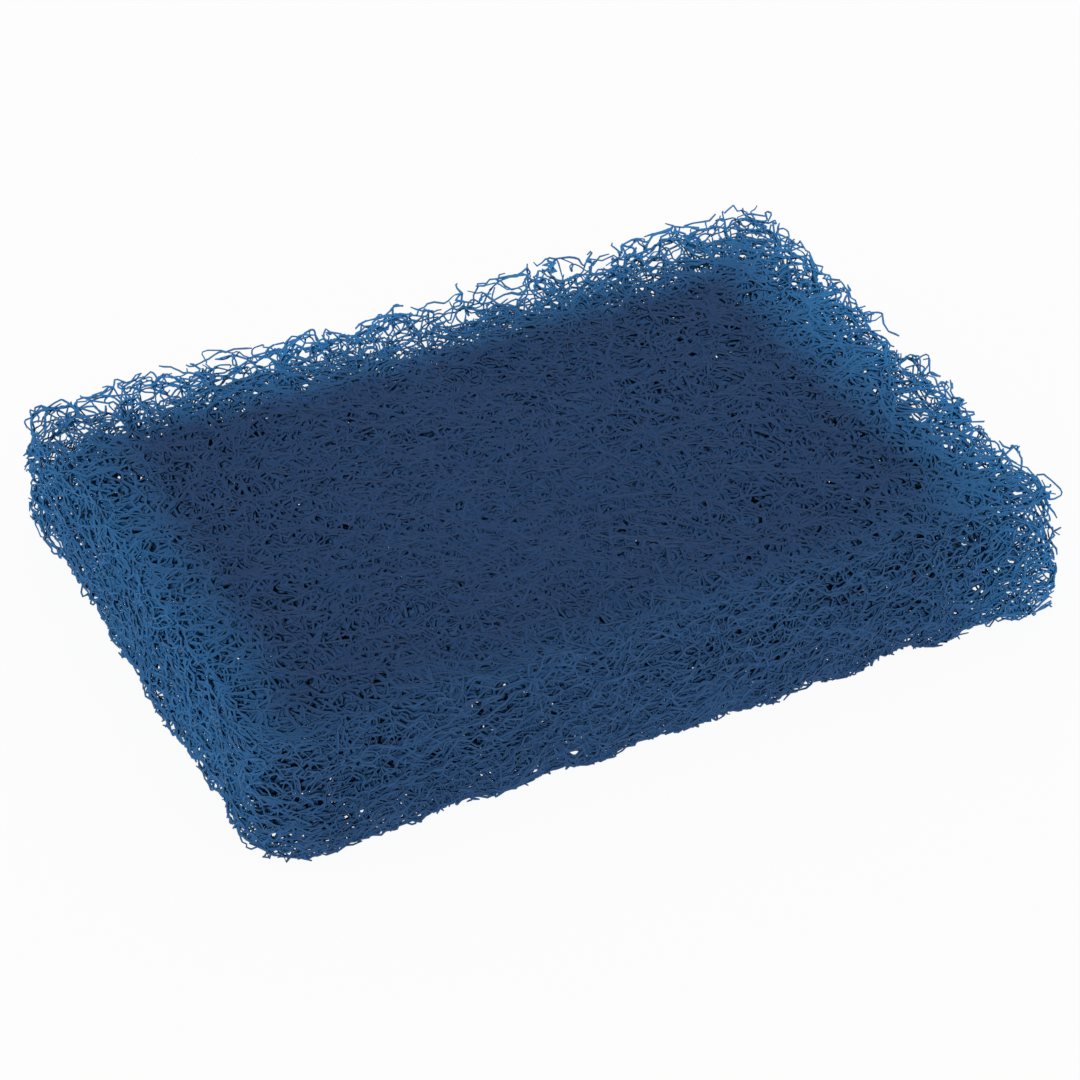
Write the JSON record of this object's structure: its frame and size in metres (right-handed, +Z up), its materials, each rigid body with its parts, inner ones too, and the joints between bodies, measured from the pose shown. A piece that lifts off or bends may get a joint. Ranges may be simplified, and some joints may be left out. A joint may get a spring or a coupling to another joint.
{
  "type": "pot scrubber",
  "caption": "Thick rectangular scouring pad of coarse, crimped, resin-bonded fibre with open, ragged cut edges.",
  "frame": {"origin": "centre of the lower face, where the pad rests", "axes": "+X along the long side, +Y towards the back long side, +Z up through the thickness"},
  "size_m": [0.127, 0.089, 0.021],
  "materials": {
    "fibre_web": "dark blue crimped nylon fibres, coated and bonded with resin that carries fine grit, semi-matt"
  },
  "bodies": {
    "root": {"scrub_pad": "fibre_web"}
  },
  "joints": []
}
